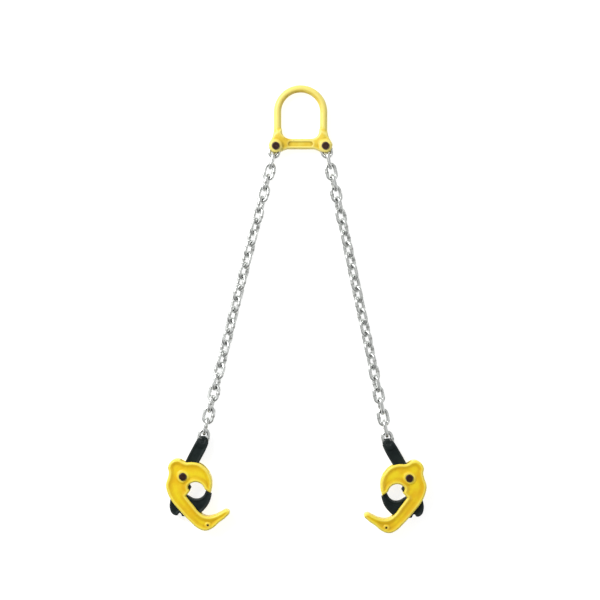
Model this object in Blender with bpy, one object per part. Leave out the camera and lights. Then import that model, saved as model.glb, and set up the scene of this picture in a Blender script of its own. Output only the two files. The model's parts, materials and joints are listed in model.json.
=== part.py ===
"""Two-leg drum lifting clamp, lying flat with its legs spread.

A forged master link carries two short-link chain legs on load pins.  Each leg ends in a
clamp: a slotted claw body and a cam lever that turns on a pivot pin.  A pull on the chain
turns the lever, and its jaw closes up to the claw's beak.

Metres, +Z up.  The clamps lie on the plane Z = 0, +Y runs from the clamps to the master
link, and the origin is the centre of the footprint.  Every moving piece hangs on an empty
that sits on its joint's axis, with the empty's local Z along the axis.
"""

import math

import bmesh
import bpy
from mathutils import Matrix, Vector

MM = 0.001
GAP = 0.3 * MM  # between pieces that touch

# Chain: 6 mm wire, 18 mm nominal pitch, at the long end of its tolerance
WIRE_RADIUS = 3.0 * MM
LINK_PITCH = 18.32 * MM
LINK_INNER_HALF_WIDTH = 4.2 * MM
LINK_INNER_HALF_LENGTH = (LINK_PITCH + GAP) / 2
LINK_COUNT = 27
LINK_BEND_FACETS = 6
JOINED_AFTER = (9, 18)  # links that share one solid with the next link

# How each leg lies: spread from -Y at its first and last link, and twist of its links
SPREAD_DEG = {"left": (14.7, 13.2), "right": (12.7, 11.2)}
SIDE = {"left": -1, "right": 1}
TWIST_DEG = 45.0
TWIST_STEPS = 7
RING_HEIGHT = 10.5 * MM
CLAW_HEIGHT = 13.0 * MM
RISE_LINKS = 8  # links over which the chain rises to the lever

# Master link: a D-shaped ring on a flat bar with a forked ear at each end
RING_WIRE_RADIUS = 6.0 * MM
RING_HALF_WIDTH = 37.0 * MM  # to the wire's centre
RING_CROWN_CENTRE = -31.0 * MM
RING_CORNER_RADIUS = 18.0 * MM
RING_BOTTOM = -82.0 * MM
BAR_HALF_THICKNESS = 7.0 * MM
BAR_TOP = -75.0 * MM
BAR_CORNER_RADIUS = 15.0 * MM
EAR_HALF_THICKNESS = 10.5 * MM
EAR_RADIUS = 11.0 * MM
EAR_SLOT_HALF = 3.5 * MM
EAR_SLOT_RADIUS = 11.2 * MM
LOAD_PIN_X = 39.9 * MM
LOAD_PIN_Y = -86.2 * MM
LOAD_PIN_RADIUS = 3.6 * MM
HEAD_RADIUS = 6.2 * MM
HEAD_THICKNESS = 2.0 * MM

# Clamp, measured from its pivot with X inwards and Y towards the chain
CLAW_HALF_THICKNESS = 13.0 * MM
SLOT_HALF = 7.3 * MM
LEVER_HALF_THICKNESS = 7.0 * MM
LEVER_FORK_HALF = 3.5 * MM
LEVER_PIN_RADIUS = 3.5 * MM
LEVER_PIN = Vector((30.9, 56.5)) * MM
LEAN_DEG = {"left": 0.0, "right": 2.3}
LEVER_ARM_DEG = 62.5
ARM_RIGHT = 12.6 * MM  # arm's inner edge, off the pivot
PIVOT_PIN_RADIUS = 5.0 * MM
JAW_OPEN_DEG = 35.0
HUB_RADIUS = 15.0 * MM
SWEEP_RADIUS = 67.5 * MM
BEAK_FACE_DEG = -30.8
TOE_HOLE = Vector((40.0, -77.8)) * MM
TOE_HOLE_RADIUS = 1.6 * MM

COLOURS = {
    "yellow_paint": ((0.83, 0.56, 0.03), 0.35, 0.0),
    "black_lever": ((0.025, 0.032, 0.032), 0.5, 0.0),
    "zinc_chain": ((0.62, 0.63, 0.63), 0.3, 0.9),
    "dark_pin": ((0.04, 0.022, 0.016), 0.45, 0.4),
}


# ---------------------------------------------------------------- scene helpers

def clear_scene():
    for obj in list(bpy.data.objects):
        bpy.data.objects.remove(obj, do_unlink=True)


def new_collection(name):
    collection = bpy.data.collections.new(name)
    bpy.context.scene.collection.children.link(collection)
    return collection


def material(slot):
    colour, roughness, metallic = COLOURS[slot]
    made = bpy.data.materials.get(slot) or bpy.data.materials.new(slot)
    made.use_nodes = True
    shader = made.node_tree.nodes["Principled BSDF"]
    shader.inputs["Base Color"].default_value = (*colour, 1)
    shader.inputs["Roughness"].default_value = roughness
    shader.inputs["Metallic"].default_value = metallic
    return made


def add_object(name, mesh, collection, matrix=None):
    obj = bpy.data.objects.new(name, mesh)
    collection.objects.link(obj)
    obj.matrix_world = matrix or Matrix()
    return obj


def add_node(name, mesh, slot, matrix, parent):
    """A visible piece: its mesh, its material and the empty that it rides on."""
    if not mesh.materials:
        mesh.materials.append(material(slot))
    mesh.shade_smooth()
    mesh.set_sharp_from_angle(angle=math.radians(35))
    obj = add_object(name, mesh, PARTS, matrix)
    attach(obj, parent)
    return obj


def attach(child, parent):
    bpy.context.view_layer.update()
    child.parent = parent
    child.matrix_parent_inverse = parent.matrix_world.inverted()


def add_joint(name, place, axis, parent):
    """An empty on a joint, with its local Z along the joint's axis."""
    turn = Vector((0, 0, 1)).rotation_difference(axis).to_matrix().to_4x4()
    empty = add_object(name, None, PARTS, Matrix.Translation(place) @ turn)
    attach(empty, parent)
    return empty


def mesh_of(obj):
    """The object's evaluated mesh, welded, with its transform applied; the object goes."""
    bpy.context.view_layer.update()
    graph = bpy.context.evaluated_depsgraph_get()
    mesh = bpy.data.meshes.new_from_object(obj.evaluated_get(graph))
    shape = bmesh.new()
    shape.from_mesh(mesh)
    bmesh.ops.transform(shape, matrix=obj.matrix_world, verts=shape.verts)
    bmesh.ops.remove_doubles(shape, verts=shape.verts, dist=1e-6)
    bmesh.ops.recalc_face_normals(shape, faces=shape.faces)
    shape.to_mesh(mesh)
    shape.free()
    bpy.data.objects.remove(obj, do_unlink=True)
    return mesh


def plate(points, half_thickness, smooth=False, resolution=3):
    """A flat outline in XY, as thick as stated each side of Z = 0.

    With smooth set, each point is (x, y, corner): a rounded outline runs through them, and
    it keeps a corner where corner is true.
    """
    curve = bpy.data.curves.new("outline", "CURVE")
    curve.dimensions = "2D"
    curve.fill_mode = "BOTH"
    curve.extrude = half_thickness
    curve.resolution_u = resolution
    if smooth:
        spline = curve.splines.new("BEZIER")
        spline.bezier_points.add(len(points) - 1)
        for knot, (x, y, corner) in zip(spline.bezier_points, points, strict=True):
            knot.co = (x, y, 0)
            knot.handle_left_type = knot.handle_right_type = "VECTOR" if corner else "AUTO"
    else:
        spline = curve.splines.new("POLY")
        spline.points.add(len(points) - 1)
        for knot, point in zip(spline.points, points, strict=True):
            knot.co = (point[0], point[1], 0, 1)
    spline.use_cyclic_u = True
    return mesh_of(add_object("outline", curve, CUTTERS))


def wire_loop(points, radius, resolution):
    """A closed bar of round section along the points."""
    curve = bpy.data.curves.new("wire", "CURVE")
    curve.dimensions = "3D"
    curve.bevel_depth = radius
    curve.bevel_resolution = resolution
    spline = curve.splines.new("POLY")
    spline.points.add(len(points) - 1)
    for knot, point in zip(spline.points, points, strict=True):
        knot.co = (*point, 1)
    spline.use_cyclic_u = True
    return mesh_of(add_object("wire", curve, CUTTERS))


def cylinder(radius, low, high, centre=(0, 0), sides=24):
    """A cylinder along Z from low to high."""
    shape = bmesh.new()
    middle = Matrix.Translation((centre[0], centre[1], (low + high) / 2))
    bmesh.ops.create_cone(
        shape, cap_ends=True, segments=sides, radius1=radius, radius2=radius,
        depth=high - low, matrix=middle,
    )
    mesh = bpy.data.meshes.new("cylinder")
    shape.to_mesh(mesh)
    shape.free()
    return mesh


def box(low, high):
    shape = bmesh.new()
    bmesh.ops.create_cube(shape, size=1)
    size = Matrix.Diagonal((*(high - low), 1))
    bmesh.ops.transform(shape, matrix=Matrix.Translation((low + high) / 2) @ size, verts=shape.verts)
    mesh = bpy.data.meshes.new("box")
    shape.to_mesh(mesh)
    shape.free()
    return mesh


def combined(base, steps):
    """The base mesh after Boolean steps, each (operation, mesh)."""
    obj = add_object("base", base, CUTTERS)
    tools = []
    for operation, mesh in steps:
        tool = add_object("cutter", mesh, CUTTERS)
        tool.hide_render = True
        tool.display_type = "WIRE"
        tools.append(tool)
        cut = obj.modifiers.new("cut", "BOOLEAN")
        cut.operation = operation
        cut.solver = "EXACT"
        cut.object = tool
    mesh = mesh_of(obj)
    for tool in tools:
        bpy.data.objects.remove(tool, do_unlink=True)
    return mesh


def arc(centre, radius, start_deg, end_deg, facets):
    """Points from one angle to the other, both ends included."""
    angles = [start_deg + (end_deg - start_deg) * i / facets for i in range(facets + 1)]
    return [centre + radius * Vector((math.cos(a), math.sin(a))) for a in map(math.radians, angles)]


def polar(radius, degrees):
    return Vector((radius * math.cos(math.radians(degrees)), radius * math.sin(math.radians(degrees))))


# ---------------------------------------------------------------- master link

def ring_path():
    """The ring's centreline: a round crown, straight sides and rounded lower corners."""
    crown = Vector((0, RING_CROWN_CENTRE))
    corner_x = RING_HALF_WIDTH - RING_CORNER_RADIUS
    corner_y = RING_BOTTOM + RING_CORNER_RADIUS
    path = arc(crown, RING_HALF_WIDTH, 0, 180, 14)
    path += arc(Vector((-corner_x, corner_y)), RING_CORNER_RADIUS, 180, 270, 5)
    path += arc(Vector((corner_x, corner_y)), RING_CORNER_RADIUS, 270, 360, 5)
    return [(x, y, 0) for x, y in path]


def bar_outline():
    """The flat bar under the ring, widening at each end into an ear round its load pin."""
    pin = Vector((LOAD_PIN_X, LOAD_PIN_Y))
    ear = arc(pin, EAR_RADIUS, -120, 25, 9)
    corner = RING_HALF_WIDTH - RING_WIRE_RADIUS - BAR_CORNER_RADIUS
    inner = arc(Vector((corner, BAR_TOP + BAR_CORNER_RADIUS)), BAR_CORNER_RADIUS, 0, -90, 5)
    top = [Vector((42.6, -66.0)) * MM, *inner]
    low = Vector((21.5, -91.0)) * MM
    right = [low, *ear, *top]
    left = [Vector((-point.x, point.y)) for point in reversed(right)]
    return right + left


def crown_sweep(side):
    """The room that the second link's crown takes as the first link swings on its pin."""
    seat = 2 * LINK_PITCH - LINK_INNER_HALF_LENGTH - LOAD_PIN_RADIUS - GAP
    reach = LINK_INNER_HALF_WIDTH + 2 * WIRE_RADIUS
    orbit = seat - LINK_INNER_HALF_LENGTH + LINK_INNER_HALF_WIDTH
    bpy.ops.mesh.primitive_torus_add(
        major_segments=24, minor_segments=16, major_radius=orbit + 0.3 * MM,
        minor_radius=reach + 0.5 * MM, location=(side * LOAD_PIN_X, LOAD_PIN_Y, 0),
    )
    ring = bpy.context.object
    ring.data.transform(Matrix.Translation(ring.location))
    mesh = ring.data
    bpy.data.objects.remove(ring, do_unlink=True)
    inner = side * (LOAD_PIN_X - WIRE_RADIUS - 1.6 * MM)
    outer = side * (LOAD_PIN_X + 40.0 * MM)
    low = Vector((min(inner, outer), LOAD_PIN_Y - 0.04, -0.03))
    high = Vector((max(inner, outer), LOAD_PIN_Y + 0.5 * MM, 0.03))
    return combined(mesh, [("INTERSECT", box(low, high))])


def swing_room(side):
    """The slot's lower part, open below and outwards."""
    inner = side * (LOAD_PIN_X - EAR_SLOT_RADIUS)
    outer = side * (LOAD_PIN_X + 2 * EAR_SLOT_RADIUS)
    low = Vector((min(inner, outer), LOAD_PIN_Y - 2 * EAR_SLOT_RADIUS, -EAR_SLOT_HALF))
    return box(low, Vector((max(inner, outer), LOAD_PIN_Y, EAR_SLOT_HALF)))


def master_link_mesh():
    steps = [("UNION", plate(bar_outline(), BAR_HALF_THICKNESS))]
    for side in SIDE.values():
        pin = (side * LOAD_PIN_X, LOAD_PIN_Y)
        steps.append(("UNION", cylinder(EAR_RADIUS, -EAR_HALF_THICKNESS, EAR_HALF_THICKNESS, pin)))
    for side in SIDE.values():
        pin = (side * LOAD_PIN_X, LOAD_PIN_Y)
        steps.append(("DIFFERENCE", cylinder(EAR_SLOT_RADIUS, -EAR_SLOT_HALF, EAR_SLOT_HALF, pin)))
        steps.append(("DIFFERENCE", swing_room(side)))
        steps.append(("DIFFERENCE", cylinder(LOAD_PIN_RADIUS + GAP, -0.02, 0.02, pin, sides=16)))
        steps.append(("DIFFERENCE", crown_sweep(side)))
    return combined(wire_loop(ring_path(), RING_WIRE_RADIUS, 3), steps)


def headed_pin_mesh(shaft_radius, half_length):
    """A pin with a flat head on top; its far end lies flush in its hole."""
    low = -half_length + 0.2 * MM
    seat = half_length + GAP
    shaft = cylinder(shaft_radius, low, seat + 1.0 * MM, sides=16)
    head = cylinder(HEAD_RADIUS, seat, seat + HEAD_THICKNESS, sides=20)
    return combined(shaft, [("UNION", head)])


# ---------------------------------------------------------------- chain

def link_mesh():
    """One link: two straight sides and two round bends, its length along Y."""
    bend = LINK_INNER_HALF_WIDTH + WIRE_RADIUS
    straight = LINK_INNER_HALF_LENGTH - LINK_INNER_HALF_WIDTH
    path = arc(Vector((0, straight)), bend, 0, 180, LINK_BEND_FACETS)
    path += arc(Vector((0, -straight)), bend, 180, 360, LINK_BEND_FACETS)
    return wire_loop([(x, y, 0) for x, y in path], WIRE_RADIUS, 2)


def smooth_step(t):
    t = min(max(t, 0), 1)
    return t * t * (3 - 2 * t)


def twist_share(index):
    """How much of the full twist the link has: none at either end of the leg."""
    from_end = min(index - 2, LINK_COUNT - 1 - index)
    return min(max(from_end / TWIST_STEPS, 0), 1)


def contact_height(index):
    """Height of the chain's axis at the contact below link number index: as low as its twist lets it lie."""
    twist = math.radians(TWIST_DEG * twist_share(index + 0.5))
    lie = (LINK_INNER_HALF_WIDTH + WIRE_RADIUS) * math.cos(twist) + WIRE_RADIUS + GAP
    rise = smooth_step((index - (LINK_COUNT - 1 - RISE_LINKS)) / RISE_LINKS)
    return lie + (CLAW_HEIGHT - RING_HEIGHT) * rise


def link_direction(leg, index):
    """Unit vector down the leg, along link number index."""
    first, last = SPREAD_DEG[leg]
    spread = math.radians(first + (last - first) * (index - 1) / (LINK_COUNT - 1))
    rise = (contact_height(index) - contact_height(index - 1)) / LINK_PITCH
    level = math.sqrt(1 - rise * rise)
    return Vector((SIDE[leg] * math.sin(spread) * level, -math.cos(spread) * level, rise))


def link_twist(leg, index):
    """Turn of the link about its own length: 0 lies flat, 90 stands on edge."""
    return SIDE[leg] * TWIST_DEG * twist_share(index) + (90 if index % 2 == 0 else 0)


def link_matrix(leg, index, centre):
    """Local Y up the leg, local X along the wire of the link's bends."""
    up_leg = -link_direction(leg, index)
    flat = up_leg.cross(Vector((0, 0, 1))).normalized()
    normal = flat.cross(up_leg)
    frame = Matrix((flat, up_leg, normal)).transposed().to_4x4()
    turn = Matrix.Rotation(math.radians(link_twist(leg, index)), 4, "Y")
    return Matrix.Translation(centre) @ frame @ turn


def contact_pivot(leg, index, upper, lower, axis):
    """Where two linked bends roll on each other about this axis: between the wires' centres."""
    down = (link_direction(leg, index) + link_direction(leg, index + 1)).normalized()
    meeting = upper.translation + link_direction(leg, index) * (LINK_PITCH / 2)
    share = axis.dot(upper.col[0].xyz) ** 2 - axis.dot(lower.col[0].xyz) ** 2
    return meeting + down * (WIRE_RADIUS + GAP / 2) * share


def joined_links(first, second):
    """Two linked links as one solid, with a bead where their wires meet."""
    meeting = (first.translation + second.translation) / 2
    bead = bmesh.new()
    bmesh.ops.create_icosphere(bead, subdivisions=1, radius=1.6 * MM, matrix=Matrix.Translation(meeting))
    bead_mesh = bpy.data.meshes.new("bead")
    bead.to_mesh(bead_mesh)
    bead.free()
    parts = []
    for matrix in (first, second):
        mesh = LINK.copy()
        mesh.transform(matrix)
        parts.append(mesh)
    return combined(parts[0], [("UNION", bead_mesh), ("UNION", parts[1])])


def add_leg(leg, root):
    """The leg's links, each on the joint above it.  Returns the last joint and the lever's pin."""
    side = SIDE[leg]
    pin = Vector((side * LOAD_PIN_X, LOAD_PIN_Y, RING_HEIGHT))
    centre = pin + link_direction(leg, 1) * (LINK_INNER_HALF_LENGTH - GAP - LOAD_PIN_RADIUS)
    matrices = [link_matrix(leg, 1, centre)]
    for index in range(2, LINK_COUNT + 1):
        step = link_direction(leg, index - 1) + link_direction(leg, index)
        centre = centre + step * (LINK_PITCH / 2)
        matrices.append(link_matrix(leg, index, centre))

    joint = add_joint(f"{leg}_leg_swing", pin, Vector((0, 0, 1)), root)
    index = 1
    while index <= LINK_COUNT:
        matrix = matrices[index - 1]
        if index in JOINED_AFTER:
            mesh = joined_links(matrix, matrices[index])
            add_node(f"{leg}_links_{index:02d}_{index + 1:02d}", mesh, "zinc_chain", Matrix(), joint)
            index += 1
        else:
            add_node(f"{leg}_link_{index:02d}", LINK, "zinc_chain", matrix, joint)
        if index < LINK_COUNT:
            joint = add_contact(leg, index, matrices[index - 1], matrices[index], joint)
        index += 1
    end = centre + link_direction(leg, LINK_COUNT) * (LINK_INNER_HALF_LENGTH - GAP - LEVER_PIN_RADIUS)
    return joint, end


def add_contact(leg, index, upper, lower, parent):
    """The joint below link number index: sideways after an odd link, up and down after an even one."""
    sideways = index % 2 == 1
    down = (link_direction(leg, index) + link_direction(leg, index + 1)).normalized()
    across = down.cross(Vector((0, 0, 1))).normalized()
    axis = across.cross(down) if sideways else across
    name = f"{leg}_link_{index + 1:02d}_{'sway' if sideways else 'nod'}"
    return add_joint(name, contact_pivot(leg, index, upper, lower, axis), axis, parent)


# ---------------------------------------------------------------- clamps

CLAW_OUTLINE = (
    # hump and top edge, then down the outside of the beak
    (-24.0, 15.0, 0), (-17.0, 25.5, 0), (-7.0, 27.4, 0), (4.0, 22.8, 0), (16.0, 22.9, 0),
    (27.5, 20.0, 0), (37.5, 11.8, 0), (44.5, 0.5, 0), (46.6, -12.5, 0), (44.6, -26.6, 1),
    # beak's face, then round the mouth to its cusp
    (35.2, -21.0, 1), (31.4, -14.2, 0), (25.5, -10.1, 0), (18.5, -9.2, 0), (11.6, -12.0, 0),
    (8.2, -16.6, 0), (11.2, -23.4, 1), (4.8, -31.4, 1),
    # inner edge of the leg, upper edge of the foot and its tip
    (15.6, -44.6, 0), (27.2, -58.0, 0), (37.0, -63.6, 0), (50.0, -62.2, 0), (61.0, -57.0, 0),
    (69.5, -53.4, 0), (74.6, -57.0, 0),
    # under the foot, the heel of the sole and up the back of the leg
    (69.0, -65.0, 0), (58.0, -73.6, 0), (47.0, -83.0, 0), (36.0, -86.8, 0), (25.5, -83.8, 0),
    (12.0, -72.6, 0), (-4.5, -55.4, 0), (-19.0, -37.6, 0), (-26.0, -22.0, 0), (-27.2, -13.0, 0),
    (-24.2, -2.0, 0), (-22.6, 6.5, 0),
)

LEVER_OUTLINE = (
    # arm: its outer edge, the fork's rounded end and its inner edge
    (-1.2, 14.0, 1), (16.4, 48.6, 0), (23.0, 59.4, 0), (26.6, 62.9, 0), (31.4, 63.8, 0),
    (36.4, 62.7, 0), (39.4, 59.4, 0), (40.4, 54.6, 0), (38.9, 48.6, 0), (20.4, 12.4, 1),
    # hub, and the small tooth that stands in the mouth
    (14.2, -1.5, 0), (9.6, -10.2, 0), (13.2, -18.4, 1), (10.2, -22.4, 0), (4.4, -27.4, 0),
    # mouth side of the jaw, its face and its outer side
    (10.0, -32.6, 0), (20.6, -36.6, 0), (30.8, -32.9, 0), (36.9, -22.6, 1), (45.6, -27.95, 1),
    (44.6, -34.0, 0), (41.2, -43.6, 0), (35.6, -51.6, 0), (28.0, -58.8, 0),
    # underside, the notch and the heel
    (13.0, -64.4, 0), (-1.5, -64.2, 1), (-5.6, -59.0, 0), (-9.4, -62.8, 0), (-16.6, -60.8, 0),
    (-21.2, -52.0, 0), (-20.6, -38.0, 0), (-15.6, -22.0, 0), (-13.6, -6.0, 0), (-11.2, 9.0, 0),
)


def clamp_outline(points, inward):
    return [(inward * x * MM, y * MM, corner) for x, y, corner in points]


def slot_outline(inward):
    """Where the lever swings: its arm's sweep, its hub and the sweep of its jaw and heel."""
    open_arm = math.radians(LEVER_ARM_DEG - JAW_OPEN_DEG)
    along = Vector((math.cos(open_arm), math.sin(open_arm)))
    beside = Vector((along.y, -along.x)) * (ARM_RIGHT + 0.7 * MM)
    face = polar(1, BEAK_FACE_DEG)
    apex = face * (beside.length_squared / beside.dot(face))
    hub = HUB_RADIUS + 0.6 * MM
    points = [apex, beside + along * SWEEP_RADIUS, polar(2 * SWEEP_RADIUS, 45), polar(SWEEP_RADIUS, 100)]
    points += arc(Vector((0, 0)), hub, 100, 172, 6)
    points += arc(Vector((0, 0)), SWEEP_RADIUS, 172, 360 + BEAK_FACE_DEG, 16)
    return [(inward * point.x, point.y) for point in points]


def claw_mesh(inward):
    body = plate(clamp_outline(CLAW_OUTLINE, inward), CLAW_HALF_THICKNESS, smooth=True)
    toe = (inward * TOE_HOLE.x, TOE_HOLE.y)
    steps = [
        ("DIFFERENCE", plate(slot_outline(inward), SLOT_HALF)),
        ("DIFFERENCE", cylinder(PIVOT_PIN_RADIUS + GAP, -0.02, 0.02, sides=20)),
        ("DIFFERENCE", cylinder(TOE_HOLE_RADIUS, -0.02, 0.02, toe, sides=10)),
    ]
    return combined(body, steps)


def lever_mesh(inward):
    """The cam lever, with the pin that holds the last link fixed in its fork."""
    body = plate(clamp_outline(LEVER_OUTLINE, inward), LEVER_HALF_THICKNESS, smooth=True)
    pin = (inward * LEVER_PIN.x, LEVER_PIN.y)
    room = LINK_INNER_HALF_WIDTH + 2 * WIRE_RADIUS + 0.8 * MM
    inside = LEVER_HALF_THICKNESS - 0.5 * MM
    steps = [
        ("DIFFERENCE", cylinder(PIVOT_PIN_RADIUS + GAP, -0.02, 0.02, sides=20)),
        ("DIFFERENCE", cylinder(room, -LEVER_FORK_HALF, LEVER_FORK_HALF, pin)),
        ("UNION", cylinder(LEVER_PIN_RADIUS, -inside, inside, pin, sides=14)),
    ]
    return combined(body, steps)


def add_clamp(leg, last_joint, chain_end):
    inward = -SIDE[leg]
    lean = Matrix.Rotation(math.radians(LEAN_DEG[leg]), 4, "Z")
    to_pivot = Vector((inward * LEVER_PIN.x, LEVER_PIN.y, 0))
    place = Matrix.Translation(chain_end) @ lean @ Matrix.Translation(-to_pivot)
    pivot = place.translation
    up = Vector((0, 0, 1))
    swing = add_joint(f"{leg}_lever_swing", chain_end, up, last_joint)
    add_node(f"{leg}_cam_lever", lever_mesh(inward), "black_lever", place, swing)
    opening = add_joint(f"{leg}_jaw_open", pivot, up * inward, swing)
    add_node(f"{leg}_claw_body", claw_mesh(inward), "yellow_paint", place, opening)
    pin = headed_pin_mesh(PIVOT_PIN_RADIUS, CLAW_HALF_THICKNESS)
    add_node(f"{leg}_pivot_pin", pin, "dark_pin", place, opening)


# ---------------------------------------------------------------- assembly

def footprint_centre():
    """Centre, on Z = 0, of the box round every piece."""
    bpy.context.view_layer.update()
    corners = [
        obj.matrix_world @ Vector(corner)
        for obj in PARTS.objects if obj.type == "MESH"
        for corner in obj.bound_box
    ]
    middle = [(min(c[axis] for c in corners) + max(c[axis] for c in corners)) / 2 for axis in (0, 1)]
    return Vector((*middle, 0))


def main():
    root = add_object("lifting_clamp", None, PARTS)
    ring_place = Matrix.Translation((0, 0, RING_HEIGHT))
    add_node("master_link", master_link_mesh(), "yellow_paint", ring_place, root)
    for leg, side in SIDE.items():
        place = Matrix.Translation((side * LOAD_PIN_X, LOAD_PIN_Y, RING_HEIGHT))
        pin = headed_pin_mesh(LOAD_PIN_RADIUS, EAR_HALF_THICKNESS)
        add_node(f"{leg}_load_pin", pin, "dark_pin", place, root)
        add_clamp(leg, *add_leg(leg, root))
    root.location -= footprint_centre()
    bpy.context.view_layer.update()


clear_scene()
PARTS = new_collection("drum_lifting_clamp")
CUTTERS = new_collection("cutters")
LINK = link_mesh()
main()
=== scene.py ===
import json
import math
from itertools import product

import bmesh
import bpy
import numpy as np
from mathutils import Matrix, Vector


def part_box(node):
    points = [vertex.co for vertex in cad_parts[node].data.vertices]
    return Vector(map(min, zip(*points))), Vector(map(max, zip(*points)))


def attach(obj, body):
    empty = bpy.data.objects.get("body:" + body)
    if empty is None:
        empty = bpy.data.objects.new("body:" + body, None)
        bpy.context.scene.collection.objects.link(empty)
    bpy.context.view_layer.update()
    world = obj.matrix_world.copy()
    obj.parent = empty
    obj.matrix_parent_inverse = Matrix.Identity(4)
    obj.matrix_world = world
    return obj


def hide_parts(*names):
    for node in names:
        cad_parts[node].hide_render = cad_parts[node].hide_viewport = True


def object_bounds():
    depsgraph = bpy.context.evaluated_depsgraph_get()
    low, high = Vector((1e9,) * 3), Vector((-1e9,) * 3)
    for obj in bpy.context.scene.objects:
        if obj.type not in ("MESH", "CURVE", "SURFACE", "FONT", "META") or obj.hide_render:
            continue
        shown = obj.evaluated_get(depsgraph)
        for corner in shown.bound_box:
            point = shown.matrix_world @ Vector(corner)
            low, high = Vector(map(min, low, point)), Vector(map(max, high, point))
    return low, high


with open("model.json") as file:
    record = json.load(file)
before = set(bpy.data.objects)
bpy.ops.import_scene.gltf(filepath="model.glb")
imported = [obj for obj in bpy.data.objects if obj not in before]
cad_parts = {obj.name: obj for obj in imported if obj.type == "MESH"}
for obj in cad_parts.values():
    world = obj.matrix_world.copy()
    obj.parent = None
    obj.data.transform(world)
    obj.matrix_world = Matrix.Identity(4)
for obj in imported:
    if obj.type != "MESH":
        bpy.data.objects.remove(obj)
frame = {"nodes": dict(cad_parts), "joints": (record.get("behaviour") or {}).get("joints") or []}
CAD_LOW, CAD_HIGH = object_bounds()
JOINTS = {joint["name"]: joint for joint in frame["joints"]}

# All lengths are in millimetres until a mesh is made, and a field is in the same units.
MM = 0.001
SIDE = {"left": -1, "right": 1}
GRID_STEP = 0.8  # between the points of a field
SOFTENING_PASSES = 14
OUTLINE_FACETS = 24  # between two points of an outline
SHARP_DEG = 38  # where a turned piece's edges start to look sharp

# Chain
WIRE_RADIUS = 3.0
LINK_PITCH = 18.32
LINK_BEND_RADIUS = 7.2
LINK_INNER_HALF = 4.2
LINK_HALF_STRAIGHT = 5.11
LINK_COUNT = 27
SPREAD_DEG = {"left": (14.7, 13.2), "right": (12.7, 11.2)}  # outwards from -Y, at the first link and the last
TWIST_DEG = 45.0  # the links' turn where they rest on the floor
TWIST_STEPS = 7  # links over which that turn sets in, at each end of a leg
RISE_LINKS = 8  # links over which the chain's line rises to the clamp
LINK_TOP_TO_PIN = 5.41  # from the load pin's centre to the first link's

# Master link, measured from the middle of the hook's seat
RING_HEIGHT = 10.5
CLAW_HEIGHT = 13.0
RING_HALF_WIDTH = 37.0
RING_WIRE_RADIUS = 6.0
RING_CROWN_Y = -31.0
RING_CORNER_RADIUS = 18.0
RING_BOTTOM = -82.0
BAR_TOP = -75.0
BAR_CORNER_RADIUS = 15.0
BAR_HALF_THICKNESS = 7.0
LOAD_PIN_X = 39.9
LOAD_PIN_Y = -86.2
EAR_RADIUS = 11.0
EAR_HALF_THICKNESS = 10.5
EAR_SLOT_HALF = 3.5
EAR_SLOT_RADIUS = 11.2
EAR_BOSS_RADIUS = 8.2
SECOND_LINK_REACH = 10.7  # of its crown, from the circle that it sweeps round the pin
LOAD_HOLE_RADIUS = 3.9
RECESS_Y = -83.2
RECESS_HALF_LENGTH = 16.0
RECESS_HALF_WIDTH = 3.6
RECESS_FLOOR = 6.2

# Clamps
CLAW_HALF = 13.0
SLOT_HALF = 7.3
LEVER_HALF = 7.0
FORK_HALF = 3.5
FORK_RADIUS = 11.0
LEVER_PIN = (30.9, 56.5)
LEAN_DEG = {"left": 0.0, "right": 2.3}
LEVER_ARM_DEG = 62.5
ARM_RIGHT = 12.6  # from the pivot pin to the right side of the arm
JAW_OPEN_DEG = 35.0  # the slot leaves more room than the joint's range
HUB_RADIUS = 15.6
SWEEP_RADIUS = 67.5  # the lever's furthest reach from its pivot pin
BEAK_FACE_DEG = -30.8
TOE_HOLE = (40.0, -77.8)
TOE_HOLE_RADIUS = 1.7
PIVOT_HOLE_RADIUS = 5.3
CROSS_HOLE_RADIUS = 3.5
JAW_FACE = ((36.9, -22.6), (45.6, -27.95))
GROOVES = (0.22, 0.41, 0.60, 0.79)  # shares of the jaw's face
GROOVE_RADIUS = 0.75

# Pins
PIN_HEAD_RADIUS = 6.2
LOAD_SHAFT_RADIUS = 3.6
PIVOT_SHAFT_RADIUS = 5.0
CROSS_PIN_RADIUS = 3.42
CROSS_PIN_HALF = 6.6

# Paint: body; deep for random deeper tone and for painted shade in hollows and bands; pale for a painted
# highlight on edges
RING_YELLOW = ((0.83, 0.67, 0.085), (0.77, 0.52, 0.03), (0.90, 0.80, 0.25))
CLAW_YELLOW = ((0.90, 0.69, 0.008), (0.85, 0.50, 0.004), (0.94, 0.80, 0.12))
BARE_IRON = (0.10, 0.085, 0.07)

# Camera, in metres: above the object, looking straight down
CAMERA_DISTANCE = 2.6
FRAME_WIDTH = 0.9635
FRAME_LEVEL = 0.012  # where the picture is that wide
VIEW_FROM_SEAT = (-0.0010, -0.3332)
FLOOR_HALF = 14.0
FLOOR_GLOW = 0.80
SKY_STRENGTH = 0.6
LAMPS = (  # name, place, size in metres and power in watts
    ("key", (-1.55, 1.35, 1.75), 1.3, 69.0),
    ("fill", (1.9, -0.6, 2.0), 1.8, 8.0),
)


# ---------------------------------------------------------------- node materials

def new_material(name):
    made = bpy.data.materials.new(name)
    made.use_nodes = True
    tree = made.node_tree
    return made, tree, tree.nodes["Principled BSDF"]


def node(tree, kind, inputs=(), **settings):
    made = tree.nodes.new("ShaderNode" + kind)
    for name, value in settings.items():
        setattr(made, name, value)
    for name, value in dict(inputs).items():
        feed(tree, made.inputs[name], value)
    return made


def feed(tree, socket, value):
    if isinstance(value, bpy.types.NodeSocket):
        tree.links.new(value, socket)
    else:
        socket.default_value = value


def maths(tree, operation, a, b=0.0):
    made = node(tree, "Math", operation=operation)
    feed(tree, made.inputs[0], a)
    feed(tree, made.inputs[1], b)
    return made.outputs[0]


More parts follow.
